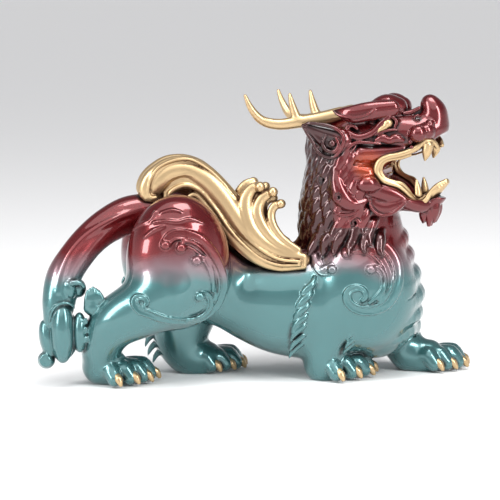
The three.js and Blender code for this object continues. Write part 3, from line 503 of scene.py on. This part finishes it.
def add_face(clay):
    def pair(rows, seam=0.6, flat=(1, 1, 1), metal="lacquer", cut=False):
        clay.limb(rows, metal, seam, flat, HEAD, both=True, cut=cut, step=1.2)

    def ball(centre, radii, seam=0.6, metal="lacquer", cut=False):
        clay.egg(centre, radii, metal, seam, HEAD, both=True, cut=cut)

    # Brow, flame, eyebrow curl and muzzle.
    pair([(16, -5.5, 36, 6.2), (10.5, -8, 36.5, 7.6), (4.5, -13, 33.5, 6.6)], 1.2)
    pair([(15, -15, 36, 5), (3, -20, 34.5, 5.6), (-8, -22, 32.5, 5), (-17, -22, 34, 1.2)], 1.2, (1, 0.7, 1))
    pair([(-18, -24, 34.5, 0.5), (-15, -25, 32.5, 0.8), (-8.5, -26, 31, 0.9), (-3, -26, 31, 0.9), (2.5, -25, 32.5, 0.9),
          (7, -22.5, 35.5, 0.7)], 0.4)
    pair([(14, -17, 31, 1.6), (10, -17, 27.5, 2.4), (6, -18.5, 23, 2.5), (2.5, -20.5, 20.5, 2.5), (-2.5, -22.5, 19, 2.5),
          (-7, -23, 20.5, 2.2), (-10, -22.5, 23.5, 1.8), (-8.5, -22, 25.8, 1.5), (-5.5, -22, 25.5, 1.2),
          (-4, -22, 24, 0.9)], 0.4)
    pair([(29.5, -13.5, 20.5, 4.6), (35, -10.5, 22.5, 5.2)], 1)
    ball((31, -14.5, 21.5), (5.4, 4.8, 5.2))
    ball((37, -9.5, 27), (2.6, 3, 2.6))
    add_spiral(clay, (30, -11.5, 30), 2.9, 1, turns=1, place=HEAD, both=True)
    ball((30, -12.5, 30), (1.7, 2.6, 1.7), cut=True)
    pair([(21, -9.5, 33, 1), (25, -7.5, 33.5, 1.5), (29.5, -6, 36, 1.2)], 0.8)

    # Ear: a hollow leaf with a rim, a snail inside and a ball in its middle.
    pair([(-14.5, -25, 16.5, 8.2), (-24, -27, 20, 6), (-30, -28.5, 23.5, 3.4), (-34.5, -30, 26, 1.2)], 0.8, (1, 0.55, 1))
    pair([(-17, -33.5, 16, 4.8), (-24, -33, 19.5, 3.2), (-30, -32.5, 23, 1.6)], 1, cut=True)
    pair([(-35, -30, 26, 0.7), (-31, -31, 27.3, 1), (-25, -31, 27, 1.1), (-19, -30.5, 26, 1.2), (-13, -30, 23.5, 1.2),
          (-10, -29.5, 19.5, 1.2), (-10.5, -29.5, 15, 1.2), (-13, -29, 10.5, 1.2), (-17, -28.5, 7.5, 1.2),
          (-22, -28.5, 8, 1.2), (-26, -29, 11, 1.2), (-28.5, -30, 16, 1.2), (-31.5, -30.5, 20.5, 1), (-35, -30, 25.5, 0.7)],
         0.4)
    pair([(-20.5, -30.5, 20, 0.8), (-22.5, -30, 15.5, 1.2), (-20, -30, 11.5, 1.3), (-15.5, -30, 11, 1.3),
          (-13, -30, 15, 1.2), (-14.5, -30, 19, 0.9)], 0.3)
    ball((-16.8, -30, 15.8), (2.3, 2.3, 2.3), 0.2)

    # Cheek plates, their rims, the drop below them and the edge of the skull above.
    pair([(-1.5, -20.5, 9, 5.6), (8.5, -15.5, 9.5, 5.6), (21, -12, 12, 3.2)], 0.8)
    pair([(-4, -21, -1.5, 6.2), (1.5, -19, -3, 6.2)], 0.7)
    pair([(-6.5, -25.5, 3.3, 0.7), (0.5, -24, 3, 0.8), (6, -19.5, 2.5, 0.7)], 0.5, cut=True)
    pair([(-4, -24, 14.5, 0.6), (-5.5, -25.5, 11.5, 0.9), (-6.5, -26, 8, 0.9), (-6, -25.5, 4.5, 0.7)], 0.5)
    pair([(-6.5, -26, 2, 0.7), (-8.5, -26.5, -0.5, 1), (-9.5, -26.5, -4.5, 1), (-7.5, -26.5, -8, 1), (-3, -26.5, -9.5, 0.8)],
         0.5)
    pair([(-4, -26, -8.3, 1), (0, -25.5, -8.5, 4), (3.5, -24.5, -8, 5.6), (7, -23.5, -9, 3.8), (10.5, -22.5, -10, 1.2)], 0.4)
    pair([(-22, -24.5, 3.5, 0.7), (-15, -26.5, 5, 1.2), (-10.5, -26.8, 9, 1.3), (-8, -26.8, 13, 1.3), (-4, -25, 16, 1.1),
          (3, -24, 16.3, 0.9), (10, -21, 15.5, 0.6)], 0.6)
    pair([(7.5, -21, 17.5, 1.4), (11, -19.5, 18.7, 2.7), (15, -19, 17.4, 2.2), (18.5, -18, 18.8, 2.8), (22.5, -17, 17.5, 1.3)],
         0.5)
    for x, z in ((26.5, 16.5), (27.5, 13.5)):
        ball((x, -15.5, z), (1.4, 1.4, 1.4), 0.4)

    # Curls behind the cheek, the red leaf under the ear and the dark leaf under the jaw.
    pair([(-15.5, -26, 1, 3), (-14.5, -27, -8, 5), (-11, -27, -16, 6.2), (-5.5, -25.5, -20, 4.8), (1.5, -23, -18, 2)], 0.7)
    pair([(-19.5, -28, -18, 0.6), (-16.5, -29, -23.5, 1), (-11.5, -29.5, -26.3, 1.1), (-5.5, -28.5, -25.8, 1.1),
          (-0.5, -26, -22.5, 1), (2.5, -24, -17.5, 0.7)], 0.4)
    for centre, outer, tube in (((-23, -25.5, -6.5), 5.8, 1.7), ((-12.5, -31, -15.5), 4.6, 1.4), ((-4, -25.5, -31), 6, 1.9)):
        ball(centre, (outer - tube, 3, outer - tube), 0.4, cut=True)
        add_spiral(clay, centre, outer, tube, turns=1.35, place=HEAD, both=True)
    pair([(4, -20.5, -15.5, 1.6), (7, -20, -20.5, 3.4), (13, -19, -22.5, 4.4), (19.5, -18.5, -20.5, 3.6),
          (25, -18.5, -18, 1.1)], 0.6, (1, 0.7, 1))
    pair([(4, -22.5, -17, 0.6), (5.5, -23, -22.5, 1), (10, -22, -26.3, 1.1), (15.5, -21.5, -26, 1.1),
          (20.5, -20.8, -23, 1), (25, -19.5, -19, 0.7)], 0.4)

    # The mouth is cut right through, and the beard hangs from the chin.
    for rows in ([(12, 0, -1, 2.6), (18, 0, -0.5, 6), (24.5, 0, -1, 9.8), (32, 0, -3.5, 13.5), (42, 0, -0.5, 16),
                  (56, 0, 3, 22)], [(30, 0, -10, 7.5), (34, 0, -10, 7.5)]):
        clay.limb(rows, seam=1, flat=(1, 0, 1), place=HEAD, cut=True)
    for x, top, tip in ((32.5, -23, -32), (36, -19, -35), (39.3, -18, -31.5)):
        pair([(x, -2.4, top, 2.6), (x - 0.3, -3, (top + tip) / 2, 2.9), (x - 1, -2, tip, 0.8)], 0.4)


def add_mouth(clay):
    """Gilded lips with an inner line, fangs, the scoop of the lower jaw, and the eyes."""
    def pair(rows, seam=0.5, flat=(1, 1, 1)):
        clay.limb(rows, "gold", seam, flat, HEAD, both=True, step=1.2)

    lip = np.array([(40.5, -6.5, 13.5, 1.4), (38.5, -9, 16.5, 1.7), (34.5, -12, 17.5, 1.9), (31, -13.5, 14, 1.9),
                    (26.5, -15.5, 11.2, 1.7), (20, -17.5, 9, 1.7), (13.5, -19.5, 7.5, 1.8), (9.5, -21, 5, 1.9),
                    (8, -21.5, 0, 1.9), (10.5, -21, -5, 1.8), (15, -19, -7.5, 1.7), (20, -16.5, -9.5, 1.7),
                    (24, -14, -13.5, 1.8), (27.5, -11.5, -18, 1.9), (31.5, -9.5, -20, 1.9), (34.5, -8, -18, 1.7),
                    (37, -6, -13.5, 1.5), (40, -4, -10, 1.5), (45, -1, -7, 1.3)])
    pair(lip)
    inner = lip[4:16].copy()
    toward = np.array([27.0, -2.0]) - inner[:, [0, 2]]
    inner[:, [0, 2]] += 2.4 * toward / np.linalg.norm(toward, axis=1, keepdims=True)
    inner[:, 1] += 0.8
    inner[:, 3] = 0.9
    pair(inner, 0.4)
    pair([(36, -10.5, 14.5, 3.4), (35.5, -11, 10.5, 2.8), (34.5, -11, 6, 0.8)], 0.4)
    pair([(30, -9, -14.5, 2.6), (29.5, -9, -10, 1.8), (29, -9, -6.5, 0.7)], 0.4)
    clay.limb([(29, 0, -19.5, 3), (35, 0, -17, 3.2), (40, 0, -12, 3), (45, 0, -8, 1.6)], "gold", 1, (1, 2, 1), HEAD)
    clay.egg((13, -16.3, 27.3), (3.3, 3, 3.1), "gold", 0.3, HEAD, both=True)
    pair([(6.5, -19, 21, 0.7), (9, -18.5, 23.5, 1.6), (12, -17.5, 25.5, 2)], 0.4)


def add_eyelids(clay):
    for rows in ([(8.5, -18, 28.5, 0.7), (11, -17, 31, 1.1), (15, -15.5, 31.2, 1.2), (18.2, -15.5, 28.5, 1.1),
                  (17.5, -16.5, 25.3, 0.8)],
                 [(4, -20.5, 19.5, 0.6), (8.5, -19.2, 21.3, 0.9), (14, -18, 23.3, 1), (18.5, -16.5, 23.5, 0.8)]):
        clay.limb(rows, "lacquer", 0.3, place=HEAD, both=True, step=1.2)


# From coarse masses to fine detail, halving the lattice between the stages.

low, high = np.array(BOX, float)
clay = Clay(2 * CELL, low, np.ceil((high - low) / (2 * CELL)).astype(int) + 1)
add_body(clay)
add_legs(clay)
add_skull(clay)
clay.softened(2)
clay = clay.halved()
for heel, tips in PAWS:
    add_paw(clay, heel, tips)
add_tail(clay)
add_tassel(clay)
add_chest_plates(clay)
add_leg_fur(clay)
add_scrolls(clay)
add_wings(clay)
add_antlers(clay)
smooth_neck = clay.fields["lacquer"].copy()
add_mane(clay)

head = clay.halved(HEAD_BOX)
head.fields["gold"][:] = FAR
head.limb([(34, 0, -21, 5.5), (41, 0, -16, 4.2), (45.5, 0, -10.5, 2.4)], flat=(1, 1.3, 1), place=HEAD)
add_face(head)
add_eyelids(head)
add_mouth(head)


# The meshes.

def surface(field, low, cell):
    """One vertex for each lattice cell that the surface crosses, and one square for each crossed lattice edge."""
    inside = field < 0
    halves = (slice(0, -1), slice(1, None))
    corners = list(np.ndindex(2, 2, 2))
    count = sum(inside[tuple(halves[n] for n in corner)].astype(np.int8) for corner in corners)
    crossed = (count > 0) & (count < 8)
    cells = np.argwhere(crossed)
    number = np.full(crossed.shape, -1)
    number[crossed] = np.arange(len(cells))
    values = {corner: field[tuple((cells + corner).T)] for corner in corners}
    total, hits = np.zeros((len(cells), 3)), np.zeros((len(cells), 1))
    for corner in corners:
        for axis in range(3):
            if corner[axis]:
                continue
            far = tuple(1 if n == axis else c for n, c in enumerate(corner))
            near_value, far_value = values[corner], values[far]
            hit = (near_value < 0) != (far_value < 0)
            share = np.where(hit, near_value / np.where(hit, near_value - far_value, 1), 0)
            point = np.tile(np.array(corner, float), (len(cells), 1))
            point[:, axis] = share
            total += hit[:, None] * point
            hits += hit[:, None]
    squares = []
    for axis in range(3):
        a, b = [n for n in range(3) if n != axis]
        near, far = [slice(1, -1)] * 3, [slice(1, -1)] * 3
        near[axis], far[axis] = halves
        edge = np.argwhere(inside[tuple(near)] != inside[tuple(far)])
        leaving = inside[tuple(near)][tuple(edge.T)]
        edge[:, [a, b]] += 1
        ring = []
        for back in ((0, 0), (1, 0), (1, 1), (0, 1)):
            cell_at = edge.copy()
            cell_at[:, [a, b]] -= back
            ring.append(number[tuple(cell_at.T)])
        ring = np.stack(ring, 1)
        turned = leaving if axis == 1 else ~leaving
        ring[turned] = ring[turned][:, ::-1]
        squares.append(ring)
    return low + cell * (cells + total / hits), np.vstack(squares)


def make_piece(name, clay, field, material, tint):
    """Meshes a field, thins it out, and gives it the field's own normals, how deep each point lies in a recess (for
    painted shade) and its edges.
    """
    points, squares = surface(field, clay.low, clay.cell)
    mesh = bpy.data.meshes.new(name)
    mesh.from_pydata(points, [], squares)
    piece = bpy.data.objects.new(name, mesh)
    bpy.context.collection.objects.link(piece)
    if 2 * len(squares) > MOST_TRIANGLES:
        thin = piece.modifiers.new("thin", "DECIMATE")
        thin.ratio = MOST_TRIANGLES / (2 * len(squares))
        evaluated = piece.evaluated_get(bpy.context.evaluated_depsgraph_get())
        piece.data = mesh = bpy.data.meshes.new_from_object(evaluated)
        piece.modifiers.clear()
    points = np.empty(3 * len(mesh.vertices))
    mesh.vertices.foreach_get("co", points)
    points = points.reshape(-1, 3)
    half = 0.6 * clay.cell
    steps = half * np.eye(3)
    normals = np.stack([clay.sample(points + s, field) - clay.sample(points - s, field) for s in steps], 1)
    normals /= np.maximum(np.linalg.norm(normals, axis=1, keepdims=True), 1e-6)
    both = np.minimum(clay.fields["lacquer"], clay.fields["gold"])
    depth = 2.4
    # How far each point lies in a recess, which the paints turn into painted shade.
    marks = {"recess": 1 - clay.sample(points + depth * normals, both) / depth,
             "edge": 1 + clay.sample(points - depth * normals, both) / depth,
             "warmth": tint(points)}
    for mark, value in marks.items():
        low = -1 if mark == "warmth" else 0
        mesh.attributes.new(mark, "FLOAT", "POINT").data.foreach_set("value", np.clip(value, low, 1))
    placed = (points + (*CENTRE, 0)) * 0.001
    mesh.vertices.foreach_set("co", placed.ravel())
    mesh.shade_smooth()
    mesh.normals_split_custom_set_from_vertices(normals)
    mesh.materials.append(material)
    mesh.update()
    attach(piece, "root")
    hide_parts("pixiu_figure")
    return piece


class Value:
    """A shader socket: sums and products of it add Math nodes to its material."""

    def __init__(self, paint, socket):
        self.paint, self.socket = paint, socket

    def maths(self, operation, first, second, clamp=False):
        return self.paint.node("Math", {"operation": operation, "use_clamp": clamp}, {0: first, 1: second})

    def __add__(self, other):
        return self.maths("ADD", self, other)

    def __sub__(self, other):
        return self.maths("SUBTRACT", self, other)

    def __rsub__(self, other):
        return self.maths("SUBTRACT", other, self)

    def __mul__(self, other):
        return self.maths("MULTIPLY", self, other)

    def __truediv__(self, other):
        return self.maths("DIVIDE", self, other)

    def clamped(self):
        return self.maths("ADD", self, 0.0, clamp=True)

    __radd__, __rmul__ = __add__, __mul__


class Paint:
    """A material whose nodes, all but its output, are made by one method."""

    def __init__(self, name):
        self.material = bpy.data.materials.new(name)
        self.material.use_nodes = True
        self.tree = self.material.node_tree
        self.tree.nodes.clear()

    def node(self, kind, settings, sockets, output=0):
        made = self.tree.nodes.new("ShaderNode" + kind)
        for name, value in settings.items():
            if name != "stops":
                setattr(made, name, value)
                continue
            ramp = made.color_ramp
            while len(ramp.elements) < len(value):
                ramp.elements.new(0.5)
            for stop, (at, colour) in zip(ramp.elements, value):
                stop.position = at
                stop.color = (*colour, 1)
        for name, value in sockets.items():
            if isinstance(value, Value):
                self.tree.links.new(value.socket, made.inputs[name])
            else:
                made.inputs[name].default_value = value
        return Value(self, made.outputs[output])

    def mark(self, name):
        return self.node("Attribute", {"attribute_name": name}, {}, "Fac")

    def mix(self, factor, a, b, how="MIX"):
        colours = [(*c, 1) if isinstance(c, tuple) else c for c in (a, b)]
        return self.node("Mix", {"data_type": "RGBA", "blend_type": how}, {0: factor, 6: colours[0], 7: colours[1]}, 2)

    def noise(self, where, scale, detail=3.0):
        return self.node("TexNoise", {}, {"Vector": where, "Scale": scale, "Detail": detail}, "Fac")

    def finish(self, sockets):
        shader = self.node("BsdfPrincipled", {}, sockets)
        output = self.tree.nodes.new("ShaderNodeOutputMaterial")
        self.tree.links.new(shader.socket, output.inputs["Surface"])
        return self.material


# Lacquer over copper: red above, through a greyish lilac, to verdigris below.

RED, EMBER, LILAC, TEAL = (0.12, 0.004, 0.006), (0.17, 0.012, 0.015), (0.22, 0.15, 0.17), (0.06, 0.17, 0.175)
# Painted shade: the near-black red and teal that the lacquer darkens to in recesses.
SHADED_RED, SHADED_TEAL = (0.012, 0.0015, 0.002), (0.006, 0.022, 0.025)

paint = Paint("lacquer")
where = paint.node("TexCoord", {}, {}, "Object")
height = paint.node("SeparateXYZ", {}, {0: where}, "Z")
cloud = paint.noise(where, 26.0)
level = (height * 1000 + (cloud - 0.5) * 26 - 40) / 60
hue = paint.node("ValToRGB", {"stops": [(0.0, TEAL), (0.38, TEAL), (0.52, LILAC), (0.68, EMBER), (1.0, RED)]}, {0: level})
shaded_hue = paint.node("ValToRGB", {"stops": [(0.3, SHADED_TEAL), (0.6, SHADED_RED)]}, {0: level})
recess = paint.mark("recess")
warmth = paint.mark("warmth")
# Painted shade: recesses darken the lacquer towards near-black and roughen it.
shade = (recess * 1.5 - 0.35).clamped()
colour = paint.mix(shade, hue, shaded_hue)
colour = paint.mix((warmth * -0.75).clamped(), colour, (0.012, 0.002, 0.002))
colour = paint.mix((warmth * 0.8).clamped(), colour, (0.35, 0.045, 0.008))
grain = paint.noise(where, 900.0, 2.0)
bump = paint.node("Bump", {}, {"Strength": 0.05, "Distance": 0.0004, "Height": grain})
lacquer = paint.finish({"Base Color": colour, "Metallic": 0.6, "Roughness": (shade * 0.2 + 0.24),
                        "Coat Weight": 1.0, "Coat Roughness": 0.035, "Normal": bump})


# Gilding: pale satin champagne gold, with painted shade that makes it darker and browner in recesses.

paint = Paint("gilding")
where = paint.node("TexCoord", {}, {}, "Object")
recess = paint.mark("recess")
cloud = paint.noise(where, 60.0)
# Painted shade: recesses darken the gold to brown, mottled a little by noise.
shade = (recess * 1.7 - 0.3 + (cloud - 0.5) * 0.4).clamped()
colour = paint.mix(shade, (0.56, 0.40, 0.22), (0.09, 0.04, 0.02))
grain = paint.noise(where, 1200.0, 2.0)
bump = paint.node("Bump", {}, {"Strength": 0.08, "Distance": 0.0004, "Height": grain})
gilding = paint.finish({"Base Color": colour, "Metallic": 0.85, "Roughness": (shade * 0.2 + 0.33), "Normal": bump})


def body_tint(points):
    grown = clay.sample(points, smooth_neck)
    return -np.clip(grown / 1.5, 0, 1)


def head_tint(points):
    """Orange on the cheek plates, blackish on the mane."""
    local = points - HEAD.at
    x = HEAD.cos * local[:, 0] + HEAD.sin * local[:, 1]
    z = local[:, 2]
    cheek = np.clip(2.2 - np.hypot((x - 4) / 8, (z - 3) / 7) * 1.6, 0, 1)
    mane = np.clip(clay.sample(points, smooth_neck) / 1.5, 0, 1) * np.clip((-14 - x) / 3, 0, 1)
    return cheek - mane


heights = [(c.low[2] + c.cell * np.arange(c.count[2]))[None, None, :] for c in (clay, head)]
lengths = (clay.low[0] + clay.cell * np.arange(clay.count[0]))[:, None, None]
torso = np.maximum(clay.fields["lacquer"], -heights[0])
torso = np.maximum(torso, np.minimum(heights[0] - NECK_CUT, lengths - HEAD_BOX[0][0]))
make_piece("lacquered_body", clay, torso.astype(np.float32), lacquer, body_tint)
face = np.maximum(head.fields["lacquer"], NECK_CUT - OVERLAP - heights[1]).astype(np.float32)
make_piece("lacquered_head", head, face, lacquer, head_tint)
for name, source in (("gilded_wings", clay), ("gilded_face", head)):
    gold = np.maximum(source.fields["gold"], -(source.fields["lacquer"] + 1.5))
    if source is clay:
        gold = np.maximum(gold, -heights[0])
    make_piece(name, source, gold, gilding, lambda points: 0 * points[:, 0])


# Floor, light and camera.

paint = Paint("floor")
pale = paint.finish({"Base Color": (0.9, 0.9, 0.9, 1), "Roughness": 0.8})
mesh = bpy.data.meshes.new("floor")
mesh.from_pydata([(-60, -60, 0), (60, -60, 0), (60, 60, 0), (-60, 60, 0)], [], [(0, 1, 2, 3)])
mesh.materials.append(pale)
floor = bpy.data.objects.new("floor", mesh)
bpy.context.collection.objects.link(floor)

target = Vector((CENTRE[0], CENTRE[1], 77.1)) / 1000


def place_at(azimuth, elevation, distance):
    """The point at a distance from the target, an azimuth right of the front and an elevation up."""
    a, e = np.radians(azimuth), np.radians(elevation)
    return target + distance * Vector((np.sin(a) * np.cos(e), -np.cos(a) * np.cos(e), np.sin(e)))


def aim(thing, azimuth, elevation, distance):
    thing.location = place_at(azimuth, elevation, distance)
    thing.rotation_euler = (target - thing.location).to_track_quat("-Z", "Y").to_euler()
    bpy.context.collection.objects.link(thing)


for name, azimuth, elevation, wide, tall, power in (("left_softbox", -62, 25, 0.3, 0.9, 9),
                                                    ("right_softbox", 35, 30, 0.25, 0.8, 9),
                                                    ("top_softbox", 20, 75, 0.7, 0.4, 7)):
    light = bpy.data.lights.new(name, "AREA")
    light.shape = "RECTANGLE"
    light.size, light.size_y, light.energy = wide, tall, power
    aim(bpy.data.objects.new(name, light), azimuth, elevation, 1.2)
light = bpy.data.lights.new("room", "SUN")
light.energy, light.angle = 1.6, np.radians(70)
aim(bpy.data.objects.new("room", light), -25, 60, 2.0)

world = bpy.data.worlds.new("studio")
bpy.context.scene.world = world
world.use_nodes = True
sky = world.node_tree
direction = sky.nodes.new("ShaderNodeTexCoord")
upward = sky.nodes.new("ShaderNodeSeparateXYZ")
ramp = sky.nodes.new("ShaderNodeValToRGB")
sky.links.new(direction.outputs["Generated"], upward.inputs[0])
sky.links.new(upward.outputs["Z"], ramp.inputs[0])
ramp.color_ramp.elements[0].position, ramp.color_ramp.elements[1].position = 0.05, 0.5
ramp.color_ramp.elements[0].color, ramp.color_ramp.elements[1].color = (0.9, 0.9, 0.92, 1), (0.22, 0.22, 0.23, 1)
sky.links.new(ramp.outputs[0], sky.nodes["Background"].inputs[0])
bpy.context.scene.view_settings.view_transform = "Standard"

camera = bpy.data.objects.new("camera", bpy.data.cameras.new("camera"))
camera.data.lens, camera.data.sensor_width = 156, 36
aim(camera, -7, 7, 1.3)
bpy.context.scene.camera = camera
